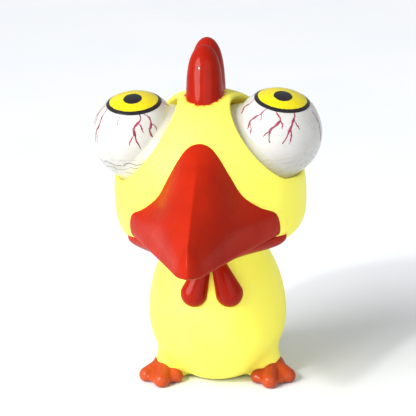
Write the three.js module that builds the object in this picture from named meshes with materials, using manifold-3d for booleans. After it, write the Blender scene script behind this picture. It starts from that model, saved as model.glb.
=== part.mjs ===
// Squeeze-toy chicken with eyes that pop out, in millimetres.
// +Z is up, the chicken looks along -Y and its own left is +X. The origin is on the floor under the middle
// of the belly. A soft hollow skin holds a bag of air. Pressing the two flanks of the belly pushes the air up
// through a forked pipe into the eyeballs, and they slide out of their sockets.
import * as THREE from "three";
import { mergeVertices } from "three/addons/utils/BufferGeometryUtils.js";
import Module from "manifold-3d";

const wasm = await Module();
wasm.setup();

// Driving dimensions.
const GAP = 0.3; // between pieces that touch
const WALL = 1.8; // soft skin
const HEAD = { y: -6, z: 60.5, r: 27.7, up: 30.4, down: 16.2, jaw: 3.5 }; // an egg with a flat, full jaw
const HEAD_TOP_ANGLE = Math.PI / 2 - 0.07; // the last level section, just short of the very top
const BELLY = { y: 0, z: 20, r: 21.3, up: 30, down: 21.8 }; // an egg, cut flat at the floor
const NECK = { y: -3, r: 14, low: 36, high: 52, blend: 3 }; // a short column between the two
const LEG = [14.6, -4.5, 3.5, 5.2, 5.4, 6.8, 0]; // a stub under the belly: middle, half sizes, turn

const EYE = { x: 20.6, y: -9.5, z: 78.3, r: 13, wall: 1.2 };
const SOCKET_R = 15.4;
const HUB = new THREE.Vector3(0, -3.5, 58); // where the two arms of the air pipe meet
const SKIRT = { outer: 9.4, inner: 8.3, low: -15 }; // the eyeball's neck, from the middle of the eyeball
const ARM = { outer: 7.9, inner: 6.7, length: 24.2 };
const TRUNK = { outer: 6.9, inner: 5.7, low: 37 };
const IRIS = { angle: 38, thickness: 0.45, recess: 0.65 };
const IRIS_LEAN = { left: [0.17, -0.23, 0.96], right: [-0.015, -0.25, 0.97] }; // x away from the middle
const IRIS_CLEARANCE = 1.2; // degrees between the edge of the iris and its recess

const FLANK = { r: 12.6, z: 24.5 }; // the part of the belly's side that fingers press
const FLANK_FROM = 5; // x where the round cut for a flank starts
const SOCKET_FROM = -12; // where the round cut for a socket starts, from the middle of the eyeball
const OUTSIDE = 45; // how far a cut runs, well clear of the skin
const BASE_HOLE_R = 6;
const PLUG = { flangeR: 7.2, flange: 1.2 };
const BAG = { r: 18.6, z: 20.6, half: 16.3, wall: 1, neckOuter: 8.4, neckTop: 45 };

const MOUTH_Z = 51.5; // height of the mouth line
const BEAK_CORNER_Y = -19.8; // no part of the beak's outline on the face is further back than this
const BEAK_WALL = 1.7;
const BEAK_ROOT = 6; // how far a beak half starts behind the face, before it is cut to it
// Half outlines of the beak where it meets the face, from the middle to the corner of the mouth: x and z.
const UPPER_FACE = [
  [0, 79.5],
  [3, 78.6],
  [5.6, 75.8],
  [8.8, 70.6],
  [12, 65.3],
  [16.8, 61.3],
  [21.3, 58.9],
  [22.9, 55.4],
  [22.7, MOUTH_Z],
];
const LOWER_FACE = [
  [0, 45.2],
  [8, 45.3],
  [15, 45.9],
  [20, 47],
  [22.8, 49],
  [23.1, MOUTH_Z - GAP],
];
const BEAK_SLICES = [0, 0.25, 0.5, 0.75, 0.93]; // from the face, 0, to the tip, 1
const BEAK_HOLLOW_SLICES = [0, 0.3, 0.6, 0.9];
const BEAK_LAST = 1.06; // past the tip, so that the end is smaller still
// How each half of the beak narrows to its tip: y of the tip, width and height left there, y of its round end.
const UPPER_TIP = { y: -61, width: 0.13, height: 0.3, end: -63.2 };
const LOWER_TIP = { y: -49, width: 0.16, height: 0.4, end: -51 };
// Slices of a wattle: height, middle x, middle y, half width, half depth.
const WATTLE = [
  [43.6, 1.9, -17.6, 1.5, 1.6],
  [41, 2.7, -17.6, 2.4, 2.4],
  [37.5, 3.9, -18.2, 3.1, 3],
  [34, 5, -19.2, 3.8, 3.3],
  [31, 5.4, -20.1, 3.8, 3.2],
  [29.2, 5.5, -20.4, 2.9, 2.5],
  [28.3, 5.5, -20.5, 1.2, 1],
];
// Blobs that make a foot: middle x, y, z, half width, half length, half height, turn about +Z in degrees.
const TOES = [
  [16.5, -10, 2.6, 3.2, 6.6, 2.9, 0],
  [20.6, -7, 2.6, 3, 5.2, 2.8, 36],
  [14.4, -7.6, 2.6, 2.8, 4.8, 2.7, -24],
];
const ANKLE = [17, -4.8, 2.6, 4.8, 4.6, 3.2, 0];
// Thumbs that make the comb: middle y at the root, half length, half thickness, top, lean to the back.
const COMB_LOBES = [
  [-12.2, 6, 5.3, 104, 4.6],
  [-2.2, 6.2, 5.2, 105, 2.4],
];
const COMB = { root: 82, join: [0, -7, 87.5, 5, 9, 8, 0] };
const COMB_BLUNT = 4.5; // the larger, the squarer the top of a lobe
const COMB_TOP = 0.12; // share of a lobe's thickness left at its very top

// Small helpers.
const ROUND = 26; // sides of the widest round cuts
const lerp = THREE.MathUtils.lerp;
const degrees = THREE.MathUtils.degToRad;
const UP = new THREE.Vector3(0, 0, 1);
const ACROSS = new THREE.Vector3(1, 0, 0);

function softMax(a, b, width) {
  if (a === 0 || b === 0) return Math.max(a, b);
  const h = Math.max(width - Math.abs(a - b), 0) / width;
  return Math.max(a, b) + (h * h * width) / 4;
}

function faceList(index) {
  const faces = [];
  for (let i = 0; i < index.length; i += 3) {
    const [a, b, c] = index.slice(i, i + 3);
    if (a !== b && b !== c && c !== a) faces.push(a, b, c);
  }
  return faces;
}

// A closed geometry as a solid with its faces pointing out.
function toSolid(geometry) {
  const bare = geometry.clone();
  bare.deleteAttribute("normal");
  bare.deleteAttribute("uv");
  const merged = mergeVertices(bare, 1e-4);
  const vertProperties = new Float32Array(merged.attributes.position.array);
  const build = (faces) => {
    return new wasm.Manifold(new wasm.Mesh({ numProp: 3, vertProperties, triVerts: new Uint32Array(faces) }));
  };
  const faces = faceList(Array.from(merged.index.array));
  const solid = build(faces);
  return solid.volume() > 0 ? solid : build(faces.reverse());
}

function toGeometry(solid) {
  const mesh = solid.getMesh();
  const geometry = new THREE.BufferGeometry();
  geometry.setAttribute("position", new THREE.BufferAttribute(new Float32Array(mesh.vertProperties), 3));
  geometry.setIndex(new THREE.BufferAttribute(new Uint32Array(mesh.triVerts), 1));
  geometry.computeVertexNormals();
  return geometry;
}

// Joins rings that have the same number of points and closes both ends.
function loft(rings) {
  const n = rings[0].length;
  const points = rings.flat();
  const firstMiddle = points.length;
  const lastRow = (rings.length - 1) * n;
  for (const ends of [rings[0], rings[rings.length - 1]]) {
    points.push(ends.reduce((sum, p) => sum.add(p), new THREE.Vector3()).divideScalar(n));
  }
  const faces = [];
  for (let i = 0; i < n; i++) {
    const next = (i + 1) % n;
    for (let row = 0; row < lastRow; row += n) {
      faces.push(row + i, row + next, row + next + n, row + i, row + next + n, row + i + n);
    }
    faces.push(firstMiddle, next, i, firstMiddle + 1, lastRow + i, lastRow + next);
  }
  const geometry = new THREE.BufferGeometry().setFromPoints(points);
  geometry.setIndex(faces);
  return toSolid(geometry);
}

function ring(count, place) {
  return Array.from({ length: count }, (_, i) => {
    const angle = (i / count) * 2 * Math.PI;
    return place(Math.cos(angle), Math.sin(angle), angle);
  });
}

// A solid turned about +Z from [radius, height] pairs that start and end on the axis.
function turned(profile, segments = 22) {
  const points = profile.map(([r, h]) => new THREE.Vector2(r, h));
  return toSolid(new THREE.LatheGeometry(points, segments).rotateX(Math.PI / 2));
}

function rod(radius, low, high, segments = 22) {
  return turned([[0, low], [radius, low], [radius, high], [0, high]], segments);
}

// Points on a circle about the middle of the axis; the angle is 0 at the top.
function arc(radius, from, to, steps) {
  return Array.from({ length: steps + 1 }, (_, i) => {
    const angle = lerp(from, to, i / steps);
    return [radius * Math.sin(angle), radius * Math.cos(angle)];
  });
}

function ellipsoid([x, y, z, rx, ry, rz, turn], segments = 12) {
  const geometry = new THREE.SphereGeometry(1, segments, segments / 2).rotateX(Math.PI / 2);
  geometry.scale(rx, ry, rz).rotateZ(degrees(turn)).translate(x, y, z);
  return toSolid(geometry);
}

const ball = (radius) => ellipsoid([0, 0, 0, radius, radius, radius, 0], 18);

// Moves a solid made along +Z so that it starts at a point and runs along a direction.
function along(solid, start, direction) {
  const turn = new THREE.Quaternion().setFromUnitVectors(UP, direction);
  return solid.transform(new THREE.Matrix4().compose(start, turn, new THREE.Vector3(1, 1, 1)).toArray());
}

const mirrored = (solid) => solid.mirror([1, 0, 0]);

// Drops the specks that a cut along a nearly matching surface can leave.
function largest(solid) {
  return solid.decompose().reduce((a, b) => (a.volume() > b.volume() ? a : b));
}

// Radius of the head's level section: round above its middle, with a squarer jaw below.
function headRadius(z, inset) {
  const power = z > HEAD.z ? 2 : HEAD.jaw;
  const half = (z > HEAD.z ? HEAD.up : HEAD.down) - inset;
  const left = 1 - Math.abs((z - HEAD.z) / half) ** power;
  return left > 0 ? (HEAD.r - inset) * left ** (1 / power) : 0;
}

function bellyRadius(z, inset) {
  const half = (z > BELLY.z ? BELLY.up : BELLY.down) - inset;
  const left = 1 - ((z - BELLY.z) / half) ** 2;
  return left > 0 ? (BELLY.r - inset) * Math.sqrt(left) : 0;
}

// Distance from the middle of a level section of the skin to its surface in one direction.
function skinRadius(z, angle, middleY, inset) {
  const reach = (ringY, radius) => {
    if (radius === 0) return 0;
    const b = (middleY - ringY) * Math.sin(angle);
    const under = b * b - (middleY - ringY) ** 2 + radius * radius;
    return Math.max(Math.sqrt(Math.max(under, 0)) - b, 0);
  };
  const neck = z > NECK.low && z < NECK.high ? NECK.r - inset : 0;
  const trunk = softMax(reach(BELLY.y, bellyRadius(z, inset)), reach(NECK.y, neck), NECK.blend);
  return softMax(reach(HEAD.y, headRadius(z, inset)), trunk, NECK.blend);
}

// The heights of the level sections, closer together where the skin turns in.
function skinHeights(inset) {
  const down = BELLY.down - inset;
  const base = Math.acos((BELLY.z - Math.max(inset, 0)) / down);
  const chin = HEAD.z - HEAD.down + inset;
  const heights = [];
  for (let i = 0; i <= 5; i++) heights.push(BELLY.z - down * Math.cos(lerp(base, Math.PI / 2, i / 5)));
  for (let i = 1; i <= 6; i++) heights.push(lerp(BELLY.z, chin, i / 6));
  for (let i = 1; i <= 5; i++) heights.push(lerp(chin, HEAD.z, (i / 5) ** 2));
  for (let i = 1; i <= 7; i++) {
    heights.push(HEAD.z + (HEAD.up - inset) * Math.sin(lerp(0, HEAD_TOP_ANGLE, i / 7)));
  }
  return heights;
}

function skinSolid(inset) {
  return loft(skinHeights(inset).map((z) => {
    const middleY = lerp(BELLY.y, HEAD.y, THREE.MathUtils.smoothstep(z, NECK.low, NECK.high));
    return ring(30, (cos, sin, angle) => {
      const r = skinRadius(z, angle, middleY, inset);
      return new THREE.Vector3(r * cos, middleY + r * sin, z);
    });
  }));
}

const belowFloor = rod(80, -20, 0);

function withLegs(skin, grow) {
  const [x, y, z, halfX, halfY, halfZ, turn] = LEG;
  const leg = ellipsoid([x, y, z, halfX + grow, halfY + grow, halfZ + grow, turn]);
  return skin.add(leg).add(mirrored(leg)).subtract(belowFloor);
}

const skinClear = withLegs(skinSolid(-GAP), GAP); // what the outside trim is cut back to
const inside = skinSolid(WALL);

const eyeCentre = new THREE.Vector3(EYE.x, EYE.y, EYE.z);
const popAxis = eyeCentre.clone().sub(HUB).normalize();
const flankCentre = new THREE.Vector3(0, 0, FLANK.z);

function bodySkin() {
  const socket = along(rod(SOCKET_R, SOCKET_FROM, OUTSIDE, ROUND), eyeCentre, popAxis);
  const flankHole = along(rod(FLANK.r + GAP, FLANK_FROM, OUTSIDE, ROUND), flankCentre, ACROSS);
  const openings = socket.add(flankHole);
  const skin = withLegs(skinSolid(0), 0).subtract(inside);
  return skin.subtract(openings).subtract(mirrored(openings)).subtract(rod(BASE_HOLE_R, -1, 2 * WALL));
}

function flank() {
  const plug = along(rod(FLANK.r, FLANK_FROM, OUTSIDE, ROUND), flankCentre, ACROSS);
  return skinSolid(0).subtract(inside).intersect(plug);
}

// Two thumb-shaped lobes, one behind the other, grown together at the root.
function comb() {
  const rows = [0, 0.45, 0.65, 0.8, 0.9, 0.97, 1];
  const lobes = COMB_LOBES.map(([y, halfLength, halfThick, top, lean]) => {
    return loft(rows.map((t) => {
      const size = Math.max(Math.sqrt(1 - t ** COMB_BLUNT), COMB_TOP);
      return ring(14, (cos, sin) => {
        const back = y + lean * t + halfLength * size * sin;
        return new THREE.Vector3(halfThick * size * cos, back, lerp(COMB.root, top, t));
      });
    }));
  });
  return lobes[0].add(lobes[1]).add(ellipsoid(COMB.join)).subtract(skinClear);
}

// One half of the beak: rings shaped like its outline on the face, shrinking to the tip. The same rings drawn
// in by the wall hollow it out, and they run past the mouth line, so that the half is a scoop.
function beakHalf(face, tip) {
  const outward = Math.sign(face[0][1] - MOUTH_Z);
  const cornerX = face.at(-1)[0];
  const onFace = (x, z) => {
    const y = HEAD.y - Math.sqrt(Math.max(headRadius(z, 0) ** 2 - x * x, 0));
    return Math.min(y, BEAK_CORNER_Y);
  };
  const slice = (wall, t, y) => {
    const half = face.map(([x, z]) => {
      const px = x * lerp(1, tip.width, t) - (wall * x) / cornerX;
      const py = y ?? lerp(onFace(x, z), tip.y, t);
      const pz = MOUTH_Z + (z - MOUTH_Z) * lerp(1, tip.height, t) - outward * wall;
      return new THREE.Vector3(px, py, pz);
    });
    return [...half, ...half.slice(1).reverse().map((p) => new THREE.Vector3(-p.x, p.y, p.z))];
  };
  const root = (wall) => slice(wall, 0).map((p) => p.setY(p.y + BEAK_ROOT));
  const outer = [root(0), ...BEAK_SLICES.map((t) => slice(0, t)), slice(0, BEAK_LAST, tip.end)];
  const inner = [root(BEAK_WALL), ...BEAK_HOLLOW_SLICES.map((t) => slice(BEAK_WALL, t))];
  return largest(loft(outer).subtract(loft(inner)).subtract(skinClear));
}

function wattle() {
  const drop = loft(WATTLE.map(([z, x, y, halfWidth, halfDepth]) => {
    return ring(14, (cos, sin) => new THREE.Vector3(x + halfWidth * cos, y + halfDepth * sin, z));
  }));
  return drop.subtract(skinClear);
}

function foot() {
  const blobs = [ANKLE, ...TOES].map((blob) => ellipsoid(blob));
  const solid = blobs.reduce((sum, blob) => sum.add(blob));
  return largest(solid.subtract(skinClear).subtract(belowFloor));
}

// A round cap of a shell about the middle of the eyeball, facing up and a little forward.
function irisCap(lean, halfAngle, innerR, outerR) {
  const angle = degrees(halfAngle);
  const profile = [...arc(outerR, 0, angle, 4), ...arc(innerR, angle, 0, 4)];
  return along(turned(profile), eyeCentre, new THREE.Vector3(...lean).normalize());
}

// A hollow ball with a short neck that slides over the arm of the air pipe.
function eyeball(lean) {
  const inner = EYE.r - EYE.wall;
  const profile = [
    ...arc(EYE.r, 0, Math.PI - Math.asin(SKIRT.outer / EYE.r), 9),
    [SKIRT.outer, SKIRT.low],
    [SKIRT.inner, SKIRT.low],
    ...arc(inner, Math.PI - Math.asin(SKIRT.inner / inner), 0, 7),
  ];
  const recess = irisCap(lean, IRIS.angle + IRIS_CLEARANCE, EYE.r - IRIS.recess, EYE.r + 2);
  return along(turned(profile), eyeCentre, popAxis).subtract(recess);
}

const irisDisc = (lean) => irisCap(lean, IRIS.angle, EYE.r - IRIS.thickness, EYE.r);

// A standing trunk that forks into two arms, hollow all through.
function airYoke() {
  const pipe = (trunkR, armR, reach) => {
    const arm = along(rod(armR, 0, ARM.length + reach), HUB, popAxis);
    const trunk = along(rod(trunkR, TRUNK.low - HUB.z - reach, 0), HUB, UP);
    const hub = along(ball(armR), HUB, UP);
    return trunk.add(hub).add(arm).add(mirrored(arm));
  };
  return pipe(TRUNK.outer, ARM.outer, 0).subtract(pipe(TRUNK.inner, ARM.inner, 1));
}

function airBag() {
  const shape = (inset, reach) => {
    const r = BAG.r - inset;
    const pouch = ellipsoid([0, 0, BAG.z, r, r, BAG.half - inset, 0], 20);
    const neck = rod(BAG.neckOuter - inset, BAG.z, BAG.neckTop + reach);
    return pouch.add(neck.translate([HUB.x, HUB.y, 0]));
  };
  return shape(0, 0).subtract(shape(BAG.wall, 1));
}

function basePlug() {
  const flangeLow = WALL + GAP;
  return turned([
    [0, 0],
    [BASE_HOLE_R - GAP, 0],
    [BASE_HOLE_R - GAP, flangeLow],
    [PLUG.flangeR, flangeLow],
    [PLUG.flangeR, flangeLow + PLUG.flange],
    [0, flangeLow + PLUG.flange],
  ]);
}

const finish = (color, roughness) => new THREE.MeshStandardMaterial({ color, roughness, metalness: 0 });
const YELLOW = finish("#f4e95a", 0.5);
const RED = finish("#c51d12", 0.25);
const ORANGE = finish("#e2531c", 0.3);
const PEARL = finish("#d9d6cf", 0.35);
const IRIS_YELLOW = finish("#e6d21c", 0.3);
const CLEAR_GREY = finish("#c9cbc6", 0.5);

const group = new THREE.Group();

function place(name, solid, material) {
  const mesh = new THREE.Mesh(toGeometry(solid), material.clone());
  mesh.name = name;
  group.add(mesh);
}

function placePair(name, solid, material) {
  place(`left_${name}`, solid, material);
  place(`right_${name}`, mirrored(solid), material);
}

place("body_skin", bodySkin(), YELLOW);
placePair("flank", flank(), YELLOW);
place("comb", comb(), RED);
place("upper_beak", beakHalf(UPPER_FACE, UPPER_TIP), RED);
place("lower_beak", beakHalf(LOWER_FACE, LOWER_TIP), RED);
placePair("wattle", wattle(), RED);
placePair("foot", foot(), ORANGE);
place("left_eyeball", eyeball(IRIS_LEAN.left), PEARL);
place("right_eyeball", mirrored(eyeball(IRIS_LEAN.right)), PEARL);
place("left_iris_disc", irisDisc(IRIS_LEAN.left), IRIS_YELLOW);
place("right_iris_disc", mirrored(irisDisc(IRIS_LEAN.right)), IRIS_YELLOW);
place("air_yoke", airYoke(), CLEAR_GREY);
place("air_bag", airBag(), CLEAR_GREY);
place("base_plug", basePlug(), YELLOW);

export default group;
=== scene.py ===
"""Squeeze-toy chicken with eyes that pop out: the looks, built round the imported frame.

Shapes are worked out in millimetres and turned into metres when a mesh is made. +Z is up, the chicken
looks along -Y and its own left is +X. Soft moulded shapes are level sets of plain formulas, meshed by
surface nets; the beak is a loft and the eyeballs are turned profiles.
"""
import math

import bmesh
import bpy
import numpy as np
from mathutils import Matrix, Vector


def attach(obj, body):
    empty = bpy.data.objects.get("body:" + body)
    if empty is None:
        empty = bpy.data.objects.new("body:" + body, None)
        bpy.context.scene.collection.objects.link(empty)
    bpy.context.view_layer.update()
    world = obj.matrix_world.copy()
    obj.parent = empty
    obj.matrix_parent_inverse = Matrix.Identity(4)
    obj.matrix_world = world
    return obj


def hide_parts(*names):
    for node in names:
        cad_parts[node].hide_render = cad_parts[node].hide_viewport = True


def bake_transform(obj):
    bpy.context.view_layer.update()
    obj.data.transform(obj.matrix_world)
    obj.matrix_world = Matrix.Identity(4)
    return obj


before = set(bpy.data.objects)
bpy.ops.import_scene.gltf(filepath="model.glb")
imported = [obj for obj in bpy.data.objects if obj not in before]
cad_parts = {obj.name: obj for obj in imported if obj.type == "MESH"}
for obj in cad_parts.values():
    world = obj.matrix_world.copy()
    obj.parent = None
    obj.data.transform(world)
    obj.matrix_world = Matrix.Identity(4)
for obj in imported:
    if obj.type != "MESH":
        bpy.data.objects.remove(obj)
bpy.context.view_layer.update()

MM = 0.001

# ---------------------------------------------------------------- sizes in millimetres, those of the CAD
# model except where a comment says otherwise
WALL = 1.8
# wide stretches the outline sideways: the visible head is 3% wider than the CAD model's
HEAD = dict(centre=(0, -6, 60.5), radius=27.7, up=30.4, down=16.2, jaw=3.5, wide=1.03)
BELLY = dict(centre=(0, 0, 20), radius=21.3, up=30, down=21.8, jaw=2, wide=1.0)
NECK_Y, NECK_R, NECK_MIDDLE, NECK_HALF = -3, 14, 44, 8
LEG = ((14.6, -4.5, 3.5), (5.2, 5.4, 6.8))
EYE = np.array((20.6, -9.5, 78.3))
EYE_R = 13.0
HUB = np.array((0, -3.5, 58))
SOCKET_R = 14.8  # a closer fit round the ball than in the CAD model
SOCKET_SHIFT = 1.5  # the socket's middle sits this far to the front and inside of the pop axis
SOCKET_DEPTH = 8.0
BASE_HOLE_R = 6.0
MOUTH_Z = 51.5
SIDES = {"left": 1, "right": -1}


# ---------------------------------------------------------------- formulas for shapes
def soft_max(a, b, width):
    h = np.maximum(width - np.abs(a - b), 0) / width
    return np.maximum(a, b) + h * h * width / 4


def soft_min(a, b, width):
    return -soft_max(-a, -b, width)


def smoothstep(x, low, high):
    t = np.clip((x - low) / (high - low), 0, 1)
    return t * t * (3 - 2 * t)


def egg(p, centre, radius, up, down, jaw, wide, inset=0.0):
    """An egg: round above its middle; below it the outline is squarer for a larger jaw."""
    x, y, z = (p - np.array(centre)).T
    half = np.where(z > 0, up, down) - inset
    power = np.where(z > 0, 2.0, float(jaw))
    flat = np.hypot(x / wide, y) / (radius - inset)
    level = (flat**power + (np.abs(z) / half) ** power) ** (1 / power)
    return (level - 1) * (radius - inset)


def ellipsoid(p, centre, radii):
    radii = np.array(radii, float)
    return (np.linalg.norm((p - np.array(centre)) / radii, axis=1) - 1) * radii.min()


def round_cone(p, start, end, start_r, end_r):
    """A rod with round ends whose radius changes from start to end."""
    a, b = np.array(start, float), np.array(end, float)
    along = np.clip((p - a) @ (b - a) / ((b - a) @ (b - a)), 0, 1)
    gap = np.linalg.norm(p - a - along[:, None] * (b - a), axis=1)
    return gap - (start_r + (end_r - start_r) * along)


def mirror_x(p):
    return np.column_stack((np.abs(p[:, 0]), p[:, 1], p[:, 2]))


def unit(v):
    v = np.array(v, float)
    return v / np.linalg.norm(v)


POP = unit(EYE - HUB)
SOCKET_TOWARDS = unit(np.array((-0.64, -0.61, 0.47)) - POP * (POP @ (-0.64, -0.61, 0.47)))
LIP_TOWARDS = unit(0.57 * np.cross(POP, SOCKET_TOWARDS) - 0.82 * SOCKET_TOWARDS)
LIP_CLOSES = 1.0
LIP_FROM, LIP_FULL = 8.5, 12.0  # distance from the ball's middle where the lip starts and stops closing in


def eye_coordinates(p, shift=0.0):
    """Height along the left eye's pop axis and distance from it, or from a line beside it."""
    q = p - EYE - shift * SOCKET_TOWARDS
    height = q @ POP
    return height, np.linalg.norm(q - height[:, None] * POP, axis=1)


def skin_outline(p, inset=0.0):
    head = egg(p, **HEAD, inset=inset)
    belly = egg(p, **BELLY, inset=inset)
    across = np.hypot(p[:, 0], p[:, 1] - NECK_Y) - (NECK_R - inset)
    neck = np.maximum(across, np.abs(p[:, 2] - NECK_MIDDLE) - NECK_HALF)
    return soft_min(soft_min(belly, neck, 3), head, 4)


def tight_lip(q):
    """How far the socket lip closes in on the ball at its outer, lower end."""
    return LIP_CLOSES * smoothstep((q - EYE) @ LIP_TOWARDS, LIP_FROM, LIP_FULL)


def skin(p):
    """The whole hollow skin: outside, inside, rolled socket lips and the hole in the base."""
    q = mirror_x(p)
    outside = soft_min(skin_outline(q), ellipsoid(q, *LEG), 3)
    outside = soft_max(outside, -q[:, 2], 1.2)
    inside = soft_max(skin_outline(q, WALL), WALL - q[:, 2], 1)
    height, away = eye_coordinates(q, SOCKET_SHIFT)
    collar = soft_max(away - SOCKET_R - WALL, -SOCKET_DEPTH - height, 1)
    hole = np.maximum(away - SOCKET_R + tight_lip(q), -SOCKET_DEPTH - 4 - height)
    shell = soft_max(outside, -soft_max(inside, -collar, 1.5), 0.8)
    shell = soft_max(shell, -hole, 1.8)
    plug_hole = np.maximum(np.hypot(q[:, 0], q[:, 1]) - BASE_HOLE_R, q[:, 2] - 4)
    return soft_max(shell, -plug_hole, 0.6)


# ---------------------------------------------------------------- meshing
def gradient(shape, p, step=0.02):
    return np.column_stack([(shape(p + e) - shape(p - e)) / (2 * step) for e in np.eye(3) * step])


def surface_normals(shape, points):
    slope = gradient(shape, points)
    return slope / np.maximum(np.linalg.norm(slope, axis=1), 1e-6)[:, None]


def onto(shape, p, rounds):
    """Moves points onto the surface along its slope."""
    for _ in range(rounds):
        slope = gradient(shape, p)
        steep = np.maximum((slope**2).sum(1), 0.05)
        p = p - slope * np.clip(shape(p) / steep, -0.5, 0.5)[:, None]
    return p


def surface_nets(shape, low, high, step):
    """A closed quad mesh of where shape is zero; shape is negative inside."""
    low, high = np.array(low, float), np.array(high, float)
    nodes = np.ceil((high - low) / step).astype(int) + 1
    cells = nodes - 1
    grid = low + step * np.stack(np.meshgrid(*map(np.arange, nodes), indexing="ij"), -1)
    value = shape(grid.reshape(-1, 3)).reshape(nodes)
    total = np.zeros((*cells, 3))
    hits = np.zeros(cells, int)
    crossings = []
    for axis in range(3):
        u, v = (axis + 1) % 3, (axis + 2) % 3
        a = np.take(value, range(cells[axis]), axis)
        b = np.take(value, range(1, nodes[axis]), axis)
        cross = (a < 0) != (b < 0)
        where = np.take(grid, range(cells[axis]), axis).copy()
        where[..., axis] += step * np.where(cross, a / np.where(cross, a - b, 1), 0)
        where *= cross[..., None]
        for du in (0, 1):
            for dv in (0, 1):
                cut = [slice(None)] * 3
                cut[u] = slice(du, du + cells[u])
                cut[v] = slice(dv, dv + cells[v])
                total += where[tuple(cut)]
                hits += cross[tuple(cut)]
        crossings.append((axis, u, v, cross, a < 0))
    active = hits > 0
    ids = np.full(cells, -1)
    ids[active] = np.arange(active.sum())
    points = total[active] / hits[active][:, None]
    quads = []
    for axis, u, v, cross, starts_inside in crossings:
        at = np.argwhere(cross)
        at = at[(at[:, u] > 0) & (at[:, v] > 0) & (at[:, u] < cells[u]) & (at[:, v] < cells[v])]
        corner = []
        for du, dv in ((1, 1), (0, 1), (0, 0), (1, 0)):
            cell = at.copy()
            cell[:, u] -= du
            cell[:, v] -= dv
            corner.append(ids[tuple(cell.T)])
        quad = np.column_stack(corner)
        flip = ~starts_inside[tuple(at.T)]
        quad[flip] = quad[flip][:, ::-1]
        quads.append(quad)
    return points, np.vstack(quads)


def relax(shape, points, quads, rounds):
    """Evens out the quads while every point stays on the surface."""
    a = np.concatenate([quads[:, i] for i in range(4)])
    b = np.concatenate([quads[:, (i + 1) % 4] for i in range(4)])
    count = np.bincount(a, minlength=len(points)) + np.bincount(b, minlength=len(points))
    for _ in range(rounds):
        total = np.zeros_like(points)
        for i in range(3):
            total[:, i] = np.bincount(a, points[b, i], len(points))
            total[:, i] += np.bincount(b, points[a, i], len(points))
        move = total / count[:, None] - points
        normal = surface_normals(shape, points)
        points = points + 0.6 * (move - (move * normal).sum(1)[:, None] * normal)
        points = onto(shape, points, 1)
    return onto(shape, points, 2)


def new_object(name, points, faces, material=None):
    mesh = bpy.data.meshes.new(name)
    mesh.from_pydata((np.asarray(points) * MM).tolist(), [], [list(map(int, f)) for f in faces])
    mesh.validate()
    mesh.shade_smooth()
    obj = bpy.data.objects.new(name, mesh)
    bpy.context.scene.collection.objects.link(obj)
    remember_rest(obj)
    if material:
        mesh.materials.append(material)
    return obj


def remember_rest(obj):
    """Keeps each point's place at rest, in millimetres, for the materials."""
    mesh = obj.data
    co = np.empty(len(mesh.vertices) * 3, np.float32)
    mesh.vertices.foreach_get("co", co)
    mesh.attributes.new("rest", "FLOAT_VECTOR", "POINT").data.foreach_set("vector", co / MM)


def add_attribute(obj, name, values):
    obj.data.attributes.new(name, "FLOAT", "POINT").data.foreach_set("value", np.asarray(values, np.float32))


def vertex_places(obj):
    co = np.empty(len(obj.data.vertices) * 3, np.float32)
    obj.data.vertices.foreach_get("co", co)
    return co.reshape(-1, 3).astype(float) / MM


def moulded(name, shape, low, high, step, material, rounds=6):
    points, quads = surface_nets(shape, low, high, step)
    return new_object(name, relax(shape, points, quads, rounds), quads, material)


# ---------------------------------------------------------------- materials
def linear(code):
    """A colour as #rrggbb, as the linear values that a shader takes."""
    values = [int(code[i : i + 2], 16) / 255 for i in (1, 3, 5)]
    return tuple(v / 12.92 if v <= 0.04045 else ((v + 0.055) / 1.055) ** 2.4 for v in values) + (1.0,)


class Shader:
    """A material with one Principled shader and short calls for the nodes that feed it."""

    def __init__(self, name, **sockets):
        self.material = bpy.data.materials.new(name)
        self.material.use_nodes = True
        self.tree = self.material.node_tree
        self.bsdf = self.tree.nodes["Principled BSDF"]
        self.rest = self.node("ShaderNodeAttribute", attribute_name="rest").outputs["Vector"]
        for socket, value in sockets.items():
            self.bsdf.inputs[socket.replace("_", " ")].default_value = value

    def node(self, kind, inputs=None, **settings):
        node = self.tree.nodes.new(kind)
        for key, value in settings.items():
            setattr(node, key, value)
        for key, value in (inputs or {}).items():
            self.give(node.inputs[key], value)
        return node

    def give(self, socket, value):
        if isinstance(value, bpy.types.NodeSocket):
            self.tree.links.new(value, socket)
        else:
            socket.default_value = value

    def attribute(self, name):
        return self.node("ShaderNodeAttribute", attribute_name=name).outputs["Fac"]

    def noise(self, scale, detail=3.0, roughness=0.55):
        inputs = {"Vector": self.rest, "Scale": scale, "Detail": detail, "Roughness": roughness}
        return self.node("ShaderNodeTexNoise", inputs).outputs["Fac"]

    def maths(self, operation, a, b=0.0):
        return self.node("ShaderNodeMath", {0: a, 1: b}, operation=operation).outputs[0]

    def ramp(self, value, low, high, to_low=0.0, to_high=1.0):
        inputs = {"Value": value, "From Min": low, "From Max": high, "To Min": to_low, "To Max": to_high}
        return self.node("ShaderNodeMapRange", inputs, interpolation_type="SMOOTHSTEP").outputs[0]

    def mix(self, share, a, b):
        return self.node("ShaderNodeMix", {0: share, 6: a, 7: b}, data_type="RGBA").outputs[2]

    def roughness(self, value):
        self.give(self.bsdf.inputs["Roughness"], value)

    def colour(self, value):
        self.give(self.bsdf.inputs["Base Color"], value)

    def bump(self, height, distance, strength=1.0):
        inputs = {"Height": height, "Distance": distance * MM, "Strength": strength}
        self.give(self.bsdf.inputs["Normal"], self.node("ShaderNodeBump", inputs).outputs[0])


YELLOW, PALE_YELLOW, DEEP_YELLOW = linear("#f3ec55"), linear("#f5f060"), linear("#e6d634")
# painted shade: a deeper, more golden yellow for the socket's inner wall
SOCKET_SHADE_YELLOW = linear("#f6d52a")
PUPIL_EDGE, RING_EDGE = 11.8, 32.3  # angles in degrees from the middle of the pupil and of the iris
RED, DARK_RED = linear("#a41f06"), linear("#961905")
ORANGE, DARK_ORANGE, OVERSPRAY = linear("#b0461e"), linear("#9c3816"), linear("#e0822c")


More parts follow.
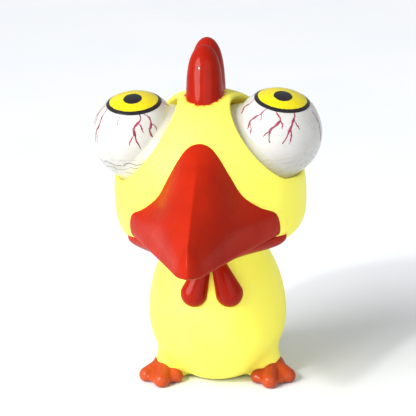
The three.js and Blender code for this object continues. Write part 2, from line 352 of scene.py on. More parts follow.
def skin_material():
    s = Shader("soft_vinyl", Specular_IOR_Level=0.25)
    clouds = s.ramp(s.noise(0.07, 4), 0.35, 0.7)
    paint = s.mix(clouds, YELLOW, PALE_YELLOW)
    specks = s.ramp(s.noise(1.7, 5, 0.7), 0.66, 0.76)
    paint = s.mix(s.maths("MULTIPLY", specks, 0.18), paint, DEEP_YELLOW)
    ragged = s.maths("MULTIPLY", s.maths("SUBTRACT", s.noise(0.55, 5, 0.65), 0.5), 1.8)
    to_trim = s.maths("ADD", s.attribute("to_trim"), ragged)
    paint = s.mix(s.ramp(to_trim, 1.5, 0.2, 0, 0.75), paint, OVERSPRAY)
    paint = s.mix(s.ramp(to_trim, 0.5, 0.25), paint, RED)
    # painted shade: the skin turns to that deeper yellow the further it reaches down the socket's inner wall
    s.colour(s.mix(s.ramp(s.attribute("depth"), 1.0, 3.2), paint, SOCKET_SHADE_YELLOW))
    s.roughness(s.ramp(s.noise(0.35, 4), 0.3, 0.7, 0.4, 0.52))
    grain = s.maths("ADD", s.noise(3.2, 4), s.maths("MULTIPLY", s.noise(0.12, 2), 2.0))
    s.bump(grain, 0.05, 0.35)
    return s.material


def gloss_material(name, bright, dark, rough, coat):
    s = Shader(name, Coat_Weight=coat, Specular_IOR_Level=0.03)
    s.bsdf.inputs["Coat Roughness"].default_value = 0.07
    tone = s.mix(s.ramp(s.noise(0.1, 3), 0.3, 0.75), bright, dark)
    pits = s.ramp(s.noise(2.4, 4, 0.7), 0.68, 0.78)
    s.colour(s.mix(s.maths("MULTIPLY", pits, 0.2), tone, dark))
    s.roughness(s.ramp(s.noise(0.5, 4), 0.3, 0.7, rough - 0.05, rough + 0.07))
    runs = s.maths("ADD", s.noise(0.22, 2), s.maths("MULTIPLY", s.noise(1.6, 3), 0.12))
    s.bump(runs, 0.2, 0.35)
    return s.material


def eyeball_material(name, creases):
    s = Shader(name, Subsurface_Weight=0.1, Subsurface_Scale=0.003, Coat_Weight=0.6, Specular_IOR_Level=0.35)
    s.bsdf.inputs["Coat Roughness"].default_value = 0.2
    clouds = s.mix(s.ramp(s.noise(0.1, 3, 0.5), 0.3, 0.72), linear("#c2c1be"), linear("#b7b6b3"))
    # painted shade with yellow bounce light from the skin: the ball turns a darker, yellower grey deeper down
    # towards the socket
    socket_shaded = s.mix(s.ramp(s.attribute("height"), -0.5, -6.0), clouds, linear("#b3a95f"))
    upright = s.node("ShaderNodeSeparateXYZ", {0: s.rest}).outputs["Z"]
    drop = s.maths("SUBTRACT", upright, float(EYE[2]))
    wavy = s.maths("ADD", drop, s.maths("MULTIPLY", s.noise(0.11, 3), 7.0))
    ripple = s.maths("SINE", s.maths("MULTIPLY", wavy, 4.6))
    line = s.ramp(ripple, 0.45, 0.98)
    band = s.maths("MULTIPLY", s.ramp(drop, -4.2, -5.6), s.ramp(drop, -9.6, -8.2))
    broken = s.ramp(s.noise(0.25, 3), 0.36, 0.52)
    folds_and_shade = s.maths("MULTIPLY", s.maths("MULTIPLY", line, band), s.maths("MULTIPLY", broken, creases))
    # painted shade: dark grey lines in the folds of the membrane; the same folds also dent the bump below
    s.colour(s.mix(folds_and_shade, socket_shaded, linear("#74766e")))
    s.roughness(s.ramp(s.noise(0.6, 3), 0.3, 0.7, 0.26, 0.36))
    s.bump(s.maths("SUBTRACT", s.maths("MULTIPLY", s.noise(0.3, 2), 0.5), folds_and_shade), 0.1, 0.45)
    return s.material


def iris_material():
    s = Shader("iris_print", Coat_Weight=0.25, Specular_IOR_Level=0.25)
    s.bsdf.inputs["Coat Roughness"].default_value = 0.12
    wobble = s.maths("MULTIPLY", s.maths("SUBTRACT", s.noise(0.9, 3), 0.5), 1.6)
    from_ring = s.maths("ADD", s.attribute("ring_angle"), wobble)
    from_pupil = s.maths("ADD", s.attribute("pupil_angle"), wobble)
    yellow = s.mix(s.ramp(s.noise(0.5, 4), 0.3, 0.7), linear("#cfc00a"), linear("#c8b807"))
    inked = s.mix(s.ramp(from_pupil, PUPIL_EDGE + 0.6, PUPIL_EDGE), yellow, linear("#17161a"))
    s.colour(s.mix(s.ramp(from_ring, RING_EDGE, RING_EDGE + 0.7), inked, linear("#19161a")))
    s.roughness(s.ramp(s.noise(1.3, 3), 0.3, 0.7, 0.25, 0.36))
    s.bump(s.noise(1.4, 3), 0.05, 0.4)
    return s.material


def vein_material():
    s = Shader("vein_print", Coat_Weight=0.3)
    s.bsdf.inputs["Coat Roughness"].default_value = 0.2
    s.colour(s.mix(s.ramp(s.noise(0.8, 3), 0.35, 0.7), linear("#740d30"), linear("#9a214c")))
    s.roughness(s.ramp(s.noise(1.5, 2), 0.3, 0.7, 0.3, 0.42))
    s.bump(s.noise(2.5, 2), 0.03, 0.4)
    return s.material


def plain_vinyl_material(name, light, dark, rough):
    s = Shader(name, Subsurface_Weight=0.1, Subsurface_Scale=0.002)
    s.colour(s.mix(s.ramp(s.noise(0.3, 4), 0.3, 0.7), linear(light), linear(dark)))
    s.roughness(s.ramp(s.noise(0.7, 3), 0.3, 0.7, rough - 0.06, rough + 0.06))
    s.bump(s.noise(2.2, 4), 0.06, 0.4)
    return s.material


def floor_material():
    s = Shader("studio_floor")
    s.colour(s.mix(s.ramp(s.noise(0.004, 2), 0.3, 0.7), linear("#e3e5e8"), linear("#dfe2e6")))
    s.roughness(s.ramp(s.noise(0.05, 2), 0.3, 0.7, 0.55, 0.65))
    return s.material


SKIN_PAINT = skin_material()
RED_PAINT = gloss_material("red_gloss_paint", RED, DARK_RED, 0.4, 0.13)
SMALL_RED_PAINT = gloss_material("small_part_red_paint", linear("#981703"), linear("#891202"), 0.42, 0.24)
ORANGE_PAINT = gloss_material("orange_gloss_paint", ORANGE, DARK_ORANGE, 0.4, 0.4)
INK_RED = vein_material()
IRIS_INK = iris_material()


def placed(obj, body, slot, *nodes):
    """The piece rides on a body and stands for CAD nodes; slot is not used."""
    if nodes:
        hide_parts(*nodes)
    if body:
        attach(obj, body)
    return obj


# ---------------------------------------------------------------- red trim
COMB_LOBES = [(-12.2, 6.0, 5.3, 104.0, 4.6), (-2.2, 6.2, 5.2, 105.0, 2.4)]
COMB_ROOT = 82.0
SUNK = 1.0  # how far the trim reaches into the skin


def sunk(shape, p):
    return np.maximum(shape, -SUNK - skin_outline(p))


def comb(p):
    lobes = []
    for y, half_length, half_thick, top, lean in COMB_LOBES:
        t = np.clip((p[:, 2] - COMB_ROOT) / (top - COMB_ROOT), 0, 2)
        x = p[:, 0] / half_thick
        back = (p[:, 1] - y - lean * t) / half_length
        lobes.append((np.sqrt(x**2 + back**2 + t**4.5) - 1) * half_thick)
    joined = soft_min(lobes[0], lobes[1], 1.6)
    joined = soft_min(joined, ellipsoid(p, (0, -7, 87.5), (5, 9.5, 8)), 1.5)
    return sunk(joined, p)


def wattles(p):
    q = mirror_x(p - np.array((0.6, 0, 0)))
    drop = round_cone(q, (1.4, -16.9, 43.0), (5.2, -18.6, 32.2), 1.7, 4.1)
    return sunk(drop, p)


TOE_ENDS = [((16.6, -13.7, 2.0), 2.5), ((21.9, -9.6, 2.0), 2.4), ((12.7, -10.4, 1.9), 2.2)]


def foot(p):
    """Three toes that run down from the ankle over a flat web."""
    ankle = (16.6, -5.0, 4.4)
    joined = ellipsoid(p, (16.8, -8.6, 1.8), (5.9, 5.6, 2.1))
    joined = soft_min(joined, ellipsoid(p, (16.8, -4.8, 3.4), (3.9, 3.8, 3.6)), 2)
    for end, end_r in TOE_ENDS:
        joined = soft_min(joined, round_cone(p, ankle, end, 2.3, end_r), 0.5)
    return soft_max(joined, -p[:, 2], 0.8)


def curve_through(points, per_span=8):
    """Catmull-Rom through 2-D or 3-D points, straight on at both ends."""
    p = np.array(points, float)
    p = np.vstack((2 * p[0] - p[1], p, 2 * p[-1] - p[-2]))
    out = []
    for i in range(1, len(p) - 2):
        for t in np.arange(per_span) / per_span:
            a, b, c, d = p[i - 1 : i + 3]
            square, cube = 2 * a - 5 * b + 4 * c - d, 3 * b - a - 3 * c + d
            out.append(0.5 * (2 * b + (c - a) * t + square * t**2 + cube * t**3))
    return np.array(out + [p[-2]])


def on_face(x, z):
    """The y of the face at a place on it, held forward at the corners of the mouth."""
    up = z > HEAD["centre"][2]
    half = np.where(up, HEAD["up"], HEAD["down"])
    power = np.where(up, 2.0, HEAD["jaw"])
    level = np.clip(1 - (np.abs(z - HEAD["centre"][2]) / half) ** power, 0, 1)
    radius = HEAD["radius"] * level ** (1 / power)
    return np.minimum(HEAD["centre"][1] - np.sqrt(np.maximum(radius**2 - x**2, 0)), -19.8)


UPPER = dict(
    face=[(0, 79.5), (3, 78.6), (5.6, 75.8), (8.8, 70.6), (12, 65.3), (16.8, 61.3), (21.3, 58.9),
          (22.9, 55.4), (22.7, 51.5)],
    width=0.1, height=0.24, end=-63.2, nose=0.9, lip=1.0, arch=1.25, plain_by=0.5,
)
LOWER = dict(
    face=[(0, 45.2), (8, 45.3), (15, 45.9), (20, 47), (22.8, 49), (23.1, 51.2)],
    width=0.13, height=0.35, end=-51.0, nose=0.93, lip=0.9, arch=2.0, plain_by=0.6,
)
BEAK_SUNK = 2.5


def resampled(points, count):
    """The same polyline as evenly spaced points."""
    far = np.concatenate(([0], np.cumsum(np.linalg.norm(np.diff(points, axis=0), axis=1))))
    steps = np.linspace(0, far[-1], count)
    return np.column_stack([np.interp(steps, far, points[:, i]) for i in range(points.shape[1])])


def beak_section(half, t, count=60, arc=7, flat=10):
    """Half of a section: the outline, a round lip and the mouth side, as x and z.

    The outline starts as it is on the face and soon becomes a plain arch.
    """
    face = resampled(curve_through([(-x, z) for x, z in half["face"][1:2]] + half["face"])[8:], count)
    sign = np.sign(half["face"][0][1] - MOUTH_Z)
    wide, tall = face[-1, 0], abs(face[0, 1] - MOUTH_Z)
    angle = np.linspace(0, math.pi / 2, 4 * count)
    power = 2 / half["arch"]
    arch = resampled(np.column_stack((wide * np.sin(angle) ** power, tall * np.cos(angle) ** power)), count)
    face = np.column_stack((face[:, 0], np.maximum(sign * (face[:, 1] - MOUTH_Z), 0)))
    outline = face + (arch - face) * smoothstep(t, 0, half["plain_by"])
    nose = np.clip((t - half["nose"]) / (1 - half["nose"]), 0, 1)
    slim = math.sqrt(max(1 - nose**2, 0.0004))
    x = outline[:, 0] * (1 + (half["width"] - 1) * t) * slim
    rise = outline[:, 1] * (1 + (half["height"] - 1) * t)
    lip = min(half["lip"], 0.4 * rise.max(), 0.45 * x.max())
    index = np.arange(len(x))
    cut = np.interp(lip, rise[::-1], index[::-1])
    steps = np.linspace(0, cut, count)
    side = np.column_stack((np.interp(steps, index, x), np.interp(steps, index, rise)))
    angle = np.linspace(0, math.pi / 2, arc + 1)[1:]
    corner = side[-1, 0] - lip
    turn = np.column_stack((corner + lip * np.cos(angle), lip - lip * np.sin(angle)))
    under = np.column_stack((np.linspace(corner, 0, flat + 1)[1:], np.zeros(flat)))
    ring = np.vstack((side, turn, under))
    ring[0, 0] = 0
    centre = 0.2 * rise.max()
    return ring[:, 0], MOUTH_Z + sign * (centre + (ring[:, 1] - centre) * slim)


def whole_ring(x, y, z):
    half = np.column_stack((x, y, z))
    return np.vstack((half, half[1:-1][::-1] * (-1, 1, 1)))


def beak_half(name, half):
    x0, z0 = beak_section(half, 0)
    face_y = on_face(x0, z0)
    rings = [whole_ring(x0, face_y + BEAK_SUNK, z0)]
    straight = np.linspace(0, half["nose"], 34)
    rounding = half["nose"] + (1 - half["nose"]) * np.sin(np.linspace(0, 1.55, 14))[1:]
    for t in np.append(straight, rounding):
        x, z = beak_section(half, t)
        rings.append(whole_ring(x, face_y + (half["end"] - face_y) * t, z))
    n = len(rings[0])
    points = np.vstack(rings + [rings[0].mean(0)[None], rings[-1].mean(0)[None]])
    faces = []
    for row in range(len(rings) - 1):
        for i in range(n):
            j = (i + 1) % n
            faces.append((row * n + i, row * n + j, (row + 1) * n + j, (row + 1) * n + i))
    last = (len(rings) - 1) * n
    faces += [(len(points) - 2, (i + 1) % n, i) for i in range(n)]
    faces += [(len(points) - 1, last + i, last + (i + 1) % n) for i in range(n)]
    obj = new_object(name, points, faces, RED_PAINT)
    return outward(obj)


def outward(obj):
    """Turns the faces of a closed mesh to point out."""
    bm = bmesh.new()
    bm.from_mesh(obj.data)
    bmesh.ops.recalc_face_normals(bm, faces=bm.faces)
    if bm.calc_volume(signed=True) < 0:
        bmesh.ops.reverse_faces(bm, faces=bm.faces)
    bm.to_mesh(obj.data)
    bm.free()
    return obj


placed(moulded("soft_comb", comb, (-8, -20, 82), (8, 9, 107), 0.55, SMALL_RED_PAINT), "body", "red_gloss", "comb")
placed(beak_half("soft_beak_upper", UPPER), "body", "red_gloss", "upper_beak")
placed(beak_half("soft_beak_lower", LOWER), "body", "red_gloss", "lower_beak")
WATTLE_SHAPE = moulded("soft_wattles", wattles, (-11, -24, 27), (11, -12, 47), 0.5, SMALL_RED_PAINT)
placed(WATTLE_SHAPE, "body", "red_gloss", "left_wattle", "right_wattle")


# ---------------------------------------------------------------- feet
def mirrored_shape(shape, side):
    return lambda p: shape(p * (side, 1, 1))


def box_for(side, low, high):
    xs = sorted((side * low[0], side * high[0]))
    return (xs[0], *low[1:]), (xs[1], *high[1:])


for side_name, side in SIDES.items():
    low, high = box_for(side, (8, -19, -1), (26, 0, 9))
    shape = mirrored_shape(foot, side)
    piece = moulded(f"soft_foot_{side_name}", shape, low, high, 0.5, ORANGE_PAINT)
    placed(piece, "body", "orange_gloss", f"{side_name}_foot")


# ---------------------------------------------------------------- skin and the two flanks that fingers press
FLANK_TILT = math.atan(0.13)
FLANK_OFFSET = 20.9 * math.cos(FLANK_TILT)  # distance of the seam's plane from the origin
FLANK_TOP = 42.6
FLANK_BEND = 4.55  # how far out of the seam's plane the flank would move with the finger all the way


def finish_skin(name, bm):
    """A piece of the skin: closed, with the whole skin's normals, so that no seam shows at rest."""
    for side in SIDES.values():
        rim = [e for e in bm.edges if e.is_boundary and e.verts[0].co.x * side > 0]
        if rim:
            bmesh.ops.triangle_fill(bm, edges=rim, use_beauty=True)
    bmesh.ops.recalc_face_normals(bm, faces=bm.faces)
    mesh = bpy.data.meshes.new(name)
    bm.to_mesh(mesh)
    obj = bpy.data.objects.new(name, mesh)
    bpy.context.scene.collection.objects.link(obj)
    mesh.materials.append(SKIN_PAINT)
    mesh.shade_smooth()
    remember_rest(obj)
    places = vertex_places(obj)
    mesh.normals_split_custom_set_from_vertices(surface_normals(skin, places).tolist())
    q = mirror_x(places)
    height, away = eye_coordinates(q, SOCKET_SHIFT)
    in_socket = (np.abs(away - SOCKET_R) < 2.4) & (height > -SOCKET_DEPTH - 4)
    # depth down the socket's inner wall, the mask for the painted shade there
    add_attribute(obj, "depth", np.where(in_socket, np.maximum(-skin_outline(q), 0), 0))
    x0, z0 = beak_section(UPPER, 0)
    low_x, low_z = beak_section(LOWER, 0)
    x0, z0 = np.append(x0[:-10], low_x[:-10]), np.append(z0[:-10], low_z[:-10])
    edge = np.column_stack((x0, on_face(x0, z0), z0))
    to_beak = np.full(len(places), 50.0)
    near = (places[:, 1] < -10) & (places[:, 2] > 40) & (places[:, 2] < 84)
    to_beak[near] = np.linalg.norm(q[near][:, None] - edge[None], axis=2).min(1)
    to_comb = np.where(places[:, 2] > COMB_ROOT, np.maximum(comb(places), 0) + 0.1, 50)
    to_wattle = np.maximum(wattles(places), 0) + 1.0
    add_attribute(obj, "to_trim", np.minimum(np.minimum(to_beak + 0.7, to_comb), to_wattle))
    return obj


def make_skin():
    points, quads = surface_nets(skin, (-30, -36, -1.4), (30, 24, 93), 0.75)
    points = relax(skin, points, quads, 6)
    bm = bmesh.new()
    verts = [bm.verts.new(p * MM) for p in points]
    for quad in quads:
        bm.faces.new([verts[i] for i in quad])
    layer = bm.faces.layers.int.new("part")
    acrosses = [Vector((side * math.cos(FLANK_TILT), 0, math.sin(FLANK_TILT))) for side in SIDES.values()]
    for across in acrosses:
        geometry = bm.verts[:] + bm.edges[:] + bm.faces[:]
        where = across * FLANK_OFFSET * MM
        bmesh.ops.bisect_plane(bm, geom=geometry, dist=1e-6, plane_co=where, plane_no=across)
    for number, across in enumerate(acrosses, 1):
        beyond = set()
        for face in bm.faces:
            middle = face.calc_center_median()
            if middle.dot(across) > FLANK_OFFSET * MM and middle.z < FLANK_TOP * MM:
                beyond.add(face)
        for face in two_largest_groups(beyond):
            face[layer] = number
    for number, name in enumerate(("soft_skin", "soft_flank_left", "soft_flank_right")):
        part = bm.copy()
        layer = part.faces.layers.int["part"]
        bmesh.ops.delete(part, geom=[f for f in part.faces if f[layer] != number], context="FACES")
        yield finish_skin(name, part)
        part.free()
    bm.free()


def two_largest_groups(faces):
    """Of the faces beyond the seam's plane, the outer patch and the inner one."""
    groups = []
    left = set(faces)
    while left:
        group, front = set(), [left.pop()]
        while front:
            face = front.pop()
            group.add(face)
            for edge in face.edges:
                for other in edge.link_faces:
                    if other in left:
                        left.discard(other)
                        front.append(other)
        groups.append(group)
    groups.sort(key=len, reverse=True)
    return groups[0] | groups[1]


skin_pieces = list(make_skin())
placed(skin_pieces[0], "body", "yellow_skin", "body_skin")
for piece, (side_name, side) in zip(skin_pieces[1:], SIDES.items()):
    across = Vector((side * math.cos(FLANK_TILT), 0, math.sin(FLANK_TILT)))
    placed(piece, None, "yellow_skin", f"{side_name}_flank")
    start, end = across * FLANK_OFFSET * MM, across * (FLANK_OFFSET + FLANK_BEND) * MM
    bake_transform(piece)
    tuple(start)
    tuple(end)


# ---------------------------------------------------------------- eyes
EYE_WALL = 1.1
IRIS_ANGLE = 38.0
IRIS_LEAN = {"left": (0.17, -0.23, 0.96), "right": (-0.015, -0.25, 0.97)}  # x away from the middle
PUPIL_LEAN = {"left": (0.17, -0.36, 0.92), "right": (-0.02, -0.38, 0.92)}


def turned(profile, centre, axis, count=96):
    """A closed profile of (radius, height) pairs turned about an axis; ends on the axis become poles."""
    a = unit(np.cross(axis, (0.3, 1.0, 0.2)))
    b = np.cross(axis, a)
    angle = np.arange(count) * 2 * math.pi / count
    spoke = np.cos(angle)[:, None] * a + np.sin(angle)[:, None] * b
    points, rows, faces = [], [], []
    for r, h in profile:
        base = np.asarray(centre) + h * np.asarray(axis)
        rows.append((len(points), 1 if r < 1e-6 else count))
        points += [base] if r < 1e-6 else list(base + r * spoke)
    closed = profile[0][0] > 1e-6
    pairs = list(zip(rows, rows[1:] + rows[:1])) if closed else list(zip(rows, rows[1:]))
    for (i, size_i), (j, size_j) in pairs:
        for k in range(count):
            m = (k + 1) % count
            if size_i == size_j == count:
                faces.append((i + k, i + m, j + m, j + k))
            elif size_i == 1 and size_j == count:
                faces.append((i, j + m, j + k))
            elif size_j == 1 and size_i == count:
                faces.append((i + k, i + m, j))
    return np.array(points), faces


def circle(radius, start, stop, steps):
    angle = np.radians(np.linspace(start, stop, steps))
    return [(radius * math.sin(a) if a > 1e-6 else 0.0, radius * math.cos(a)) for a in angle]


def to_side(p, side):
    return np.asarray(p) * (side, 1, 1)


def eyeball_profile():
    """A ball that widens behind into a foot, which stays in the socket when the ball comes out."""
    outer = circle(EYE_R, 0, 92, 47)
    spread = [outer[-1], (13.0, -1.4), (13.15, -2.4), (13.5, -3.4), (14.0, -4.3), (14.45, -5.2)]
    spread += [(14.6, -6.2), (14.5, -7.2), (13.7, -7.6)]
    inner = circle(EYE_R - EYE_WALL, 96, 0, 37)
    back = [(13.7, -7.6), (13.3, -6.2), (12.7, -4.4), (12.0, -2.8), inner[0]]
    outer += [tuple(v) for v in curve_through(spread, 5)[1:]]
    return outer + [tuple(v) for v in curve_through(back, 5)[1:]] + inner[1:]


DOME_R = 14.5  # the eyeball is flatter than a ball under the iris
EYE_STAYS, EYE_MOVES = 9, 1  # depth behind its middle where the eyeball would stay, and where it would move in full


def flattened(p, axis):
    """Eyeball points in the left eye's frame, with the flatter dome under the iris."""
    q = p - EYE
    far = np.linalg.norm(q, axis=1)
    cosine = q @ axis / far
    edge = math.radians(IRIS_ANGLE)
    sink = EYE_R * math.cos(edge) - math.sqrt(DOME_R**2 - (EYE_R * math.sin(edge)) ** 2)
    dome = sink * cosine + np.sqrt(DOME_R**2 - sink**2 * (1 - cosine**2))
    share = np.where(cosine > math.cos(edge), dome / EYE_R, 1.0)
    return EYE + q * share[:, None]


def angle_from(p, centre, axis):
    return np.degrees(np.arccos(np.clip(np.array([unit(v) for v in p - centre]) @ axis, -1, 1)))


def make_eyeball(side_name, side):
    points, faces = turned(eyeball_profile(), EYE, POP)
    points = flattened(points, unit(IRIS_LEAN[side_name]))
    shift = smoothstep(-((points - EYE) @ POP), 1.0, 4.5) * SOCKET_SHIFT
    points = points + shift[:, None] * SOCKET_TOWARDS
    obj = outward(new_object(f"soft_eyeball_{side_name}", to_side(points, side), faces))
    obj.data.materials.append(eyeball_material(f"pearl_eyeball_{side_name}", 1.0 if side < 0 else 0.25))
    # height along the pop axis, the mask for the painted shade near the socket
    add_attribute(obj, "height", eye_coordinates(mirror_x(vertex_places(obj)))[0])
    return obj


def make_iris(side_name, side):
    axis = unit(IRIS_LEAN[side_name])
    top, edge = EYE_R + 0.16, IRIS_ANGLE
    outer = circle(top, 0, edge - 0.7, 40)
    rim = [(math.sin(math.radians(edge + d)) * (EYE_R + h), math.cos(math.radians(edge + d)) * (EYE_R + h))
           for d, h in ((-0.3, 0.13), (-0.05, 0.07), (0, -0.02), (0, -0.35))]
    inner = circle(EYE_R - 0.35, edge, 0, 12)
    points, faces = turned(outer + rim + inner[1:], EYE, axis)
    points = flattened(points, axis)
    obj = outward(new_object(f"soft_iris_{side_name}", to_side(points, side), faces, IRIS_INK))
    places = to_side(vertex_places(obj), side)
    add_attribute(obj, "ring_angle", angle_from(places, EYE, axis))
    add_attribute(obj, "pupil_angle", angle_from(places, EYE, unit(PUPIL_LEAN[side_name])))
    return obj


# Veins as (angle from the middle of the iris, angle round it from the front towards +X) in degrees.
VEINS = {
    "right": [
        ([(38, -57), (48, -53), (60, -50), (72, -54), (84, -52)], 0.34),
        ([(68, -53), (76, -48), (83, -46)], 0.2),
        ([(36, 25), (43, 25), (50, 19), (55, 12), (63, 13), (72, 15), (82, 20)], 0.36),
        ([(50, 20), (55, 25), (62, 27)], 0.24),
        ([(63, 13), (70, 8), (77, 6)], 0.2),
        ([(38, 35), (44, 39), (51, 41), (60, 35), (68, 37), (76, 41)], 0.34),
        ([(51, 41), (58, 46), (64, 47)], 0.2),
        ([(41, -12), (48, -16), (56, -13)], 0.18),
    ],
    "left": [
        ([(36, -34), (45, -38), (52, -42), (60, -48), (68, -47), (78, -50)], 0.36),
        ([(64, -47), (72, -42), (80, -40)], 0.24),
        ([(45, -38), (51, -34), (57, -34)], 0.2),
        ([(36, -15), (41, -8), (47, -3), (54, -8), (61, -14), (70, -15), (78, -12)], 0.36),
        ([(47, -3), (53, 2), (59, 2)], 0.24),
        ([(61, -14), (67, -20), (73, -22)], 0.2),
        ([(36, 24), (42, 24), (48, 20), (57, 15), (66, 9), (77, 4)], 0.38),
        ([(57, 15), (66, 15), (77, 13)], 0.26),
        ([(48, 20), (54, 26), (60, 28)], 0.22),
        ([(44, 70), (55, 74), (66, 74), (77, 71), (86, 70)], 0.26),
    ],
}
FORWARD = np.array((0.1, -1.0, 0.0))  # where the angles round the iris start from
BACK_VEINS = [110, 150, 195, 235, 280]  # angles round the iris where the unseen ones start


def back_veins(seed):
    rng = np.random.default_rng(seed)
    veins = []
    for start in BACK_VEINS:
        turn = start + rng.uniform(-8, 8)
        path = [(37 + 8 * i, turn + rng.uniform(-5, 5)) for i in range(5)]
        veins.append((path, 0.3))
        fork = path[2]
        veins.append(([fork, (fork[0] + 7, fork[1] + 8), (fork[0] + 14, fork[1] + rng.uniform(8, 13))], 0.2))
    return veins


def ribbon(path, width, axis, rng):
    """A thin tapered vein that lies on the eyeball: one closed body of six-sided rings."""
    front = unit(FORWARD - axis * (FORWARD @ axis))
    aside = np.cross(front, axis)
    aside = aside if aside[0] > 0 else -aside
    dense = curve_through(path, 7)
    wiggle = np.cumsum(rng.normal(0, 0.35, (len(dense), 2)), axis=0)
    dense = dense + (wiggle - np.linspace(0, 1, len(dense))[:, None] * wiggle[-1]) * (0.8, 1.2)
    polar, round_ = np.radians(dense).T
    direction = (np.cos(polar)[:, None] * axis + (np.sin(polar) * np.cos(round_))[:, None] * front
                 + (np.sin(polar) * np.sin(round_))[:, None] * aside)
    tangent = np.gradient(direction, axis=0)
    across = np.array([unit(v) for v in np.cross(direction, tangent)])
    share = np.linspace(0, 1, len(dense))
    taper = 0.5 + 0.75 * np.sin(math.pi * np.minimum(share * 1.1, 1) ** 1.4)
    half = 0.75 * width * taper * (1 + 0.25 * np.sin(share * 23 + path[0][1]))
    points, faces = [], []
    for i in range(len(dense)):
        for k in range(6):
            a = math.pi * k / 3
            lift = direction[i] * (EYE_R + 0.012 + 0.045 * math.sin(a))
            points.append(EYE + lift + across[i] * half[i] * math.cos(a))
    for i in range(len(dense) - 1):
        for k in range(6):
            m = (k + 1) % 6
            faces.append((i * 6 + k, i * 6 + m, i * 6 + 6 + m, i * 6 + 6 + k))
    last = (len(dense) - 1) * 6
    faces += [tuple(range(5, -1, -1)), tuple(range(last, last + 6))]
    return points, faces


def make_veins(side_name, side):
    axis = unit(IRIS_LEAN[side_name])
    rng = np.random.default_rng(11 if side > 0 else 12)
    points, faces = [], []
    for path, width in VEINS[side_name] + back_veins(21 if side > 0 else 22):
        if side < 0:
            path = [(a, -b) for a, b in path]
        more, more_faces = ribbon(path, width, axis, rng)
        faces += [tuple(i + len(points) for i in face) for face in more_faces]
        points += more
    return outward(new_object(f"soft_veins_{side_name}", to_side(points, side), faces, INK_RED))


for side_name, side in SIDES.items():
    start = to_side(EYE - EYE_STAYS * POP, side) * MM
    end = to_side(EYE - EYE_MOVES * POP, side) * MM
    eye_body = f"{side_name}_eye"
    ball = placed(make_eyeball(side_name, side), None, "pearl_eyeball", f"{side_name}_eyeball")
    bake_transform(ball)
    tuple(start)
    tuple(end)
    veins = placed(make_veins(side_name, side), None, "pearl_eyeball")
    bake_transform(veins)
    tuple(start)
    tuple(end)
    placed(make_iris(side_name, side), eye_body, "iris_print", f"{side_name}_iris_disc")


# ---------------------------------------------------------------- the works inside and the plug below
def air_bag(p):
    round_ = np.arctan2(p[:, 1], p[:, 0])
    pleat = 0.22 * np.cos(10 * round_) * smoothstep(p[:, 2], 6, 14) * (1 - smoothstep(p[:, 2], 30, 38))
    pouch = ellipsoid(p, (0, 0, 20.6), (15.6, 18.0, 16.2)) + pleat
    across = np.hypot(p[:, 0], p[:, 1] + 3.5) - 8.3
    neck = np.maximum(across, np.abs(p[:, 2] - 32.8) - 12)
    outside = soft_min(pouch, neck, 3)
    inside = soft_min(pouch + 1.0, np.maximum(across + 1.0, np.abs(p[:, 2] - 33.8) - 13), 3)
    return np.maximum(outside, -inside)


def air_yoke(p):
    q = mirror_x(p) - HUB
    height = q @ POP
    away = np.linalg.norm(q - height[:, None] * POP, axis=1)
    across = np.hypot(q[:, 0], q[:, 1])

    def pipes(thinner, longer):
        arm = np.maximum(np.maximum(away - 7.9 + thinner, height - 24.2 - longer), -height)
        hub = np.linalg.norm(q, axis=1) - 7.9 + thinner
        trunk = np.maximum(np.maximum(across - 6.9 + thinner, q[:, 2]), 37 - HUB[2] - longer - q[:, 2])
        return soft_min(soft_min(arm, hub, 1.5), trunk, 2.5)

    return soft_max(pipes(0, 0), -pipes(1.2, 2), 0.3)


def plug_profile():
    rim = [(0, 0.25), (4.6, 0.25), (5.0, 0.0), (5.3, 0.0), (5.6, 0.12), (5.7, 0.4), (5.7, 2.0), (6.9, 2.1)]
    return rim + [(7.2, 2.4), (7.2, 3.0), (6.9, 3.3), (0, 3.3)]


BAG_VINYL = plain_vinyl_material("milky_liner", "#d5d4c6", "#c2c1b2", 0.5)
PLUG_VINYL = plain_vinyl_material("plug_vinyl", "#f2e33f", "#e2cf2c", 0.5)
bag = moulded("soft_air_bag", air_bag, (-17, -19, 3), (17, 19, 46), 0.8, BAG_VINYL)
placed(bag, "body", "bag_liner", "air_bag")
yoke = moulded("soft_air_yoke", air_yoke, (-27, -18, 36), (27, 6, 84), 0.8, BAG_VINYL)
placed(yoke, "body", "bag_liner", "air_yoke")
plug_points, plug_faces = turned(plug_profile(), (0, 0, 0), (0, 0, 1), 64)
plug = outward(new_object("soft_base_plug", plug_points, plug_faces, PLUG_VINYL))
placed(plug, "body", "plug", "base_plug")


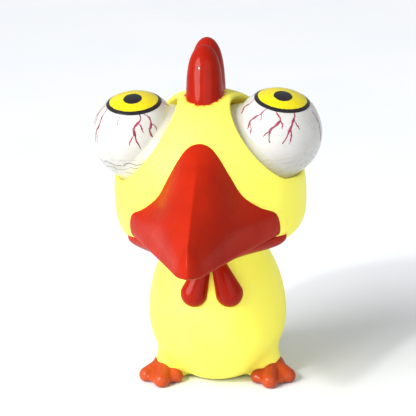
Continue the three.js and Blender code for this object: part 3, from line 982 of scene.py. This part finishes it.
# ---------------------------------------------------------------- camera, floor and lights
AZIMUTH, ELEVATION, ROLL = (math.radians(v) for v in (6.8, 16.6, 2.4))
LOOK_AT = Vector((0, 0, 0.05))
DISTANCE = 0.37
flat = math.cos(ELEVATION)
back = Vector((math.sin(AZIMUTH) * flat, -math.cos(AZIMUTH) * flat, math.sin(ELEVATION)))
level = Vector((math.cos(AZIMUTH), math.sin(AZIMUTH), 0))
upright = back.cross(level)
right = level * math.cos(ROLL) - upright * math.sin(ROLL)
up = level * math.sin(ROLL) + upright * math.cos(ROLL)

camera_data = bpy.data.cameras.new("camera")
camera_data.lens = 104.9
camera_data.sensor_width = 36
camera_data.shift_x, camera_data.shift_y = -0.0145, 0.0221
camera = bpy.data.objects.new("camera", camera_data)
bpy.context.scene.collection.objects.link(camera)
turn = Matrix((right, up, back)).transposed().to_4x4()
camera.matrix_world = Matrix.Translation(LOOK_AT + back * DISTANCE) @ turn
bpy.context.scene.camera = camera

FLOOR_HALF = 30000
floor_corners = [(x * FLOOR_HALF, y * FLOOR_HALF, 0) for x, y in ((-1, -1), (1, -1), (1, 1), (-1, 1))]
floor = new_object("studio_floor", floor_corners, [(0, 1, 2, 3)], floor_material())


def area_light(name, place, size, power):
    data = bpy.data.lights.new(name, "AREA")
    data.shape = "DISK"
    data.size, data.energy = size, power
    light = bpy.data.objects.new(name, data)
    bpy.context.scene.collection.objects.link(light)
    light.location = place
    light.rotation_euler = (Vector((0, 0, 0.05)) - Vector(place)).to_track_quat("-Z", "Y").to_euler()


def sun_light(name, towards, strength, spread, colour=(1, 1, 1)):
    data = bpy.data.lights.new(name, "SUN")
    data.energy, data.angle, data.color = strength, math.radians(spread), colour
    light = bpy.data.objects.new(name, data)
    bpy.context.scene.collection.objects.link(light)
    light.location = -Vector(towards).normalized()
    light.rotation_euler = Vector(towards).to_track_quat("-Z", "Y").to_euler()


sun_light("key_light", (0.74, 0.63, -0.6), 3.9, 44, (1.0, 0.985, 0.96))
sun_light("fill_light", (-0.5, 0.8, -0.45), 0.9, 60)
area_light("spark_light", (-0.42, -0.6, 0.62), 0.06, 3.4)

world = bpy.data.worlds.new("studio")
world.use_nodes = True
world.node_tree.nodes["Background"].inputs["Color"].default_value = (0.95, 0.97, 1.0, 1)
world.node_tree.nodes["Background"].inputs["Strength"].default_value = 0.5
bpy.context.scene.world = world
bpy.context.scene.view_settings.view_transform = "Standard"
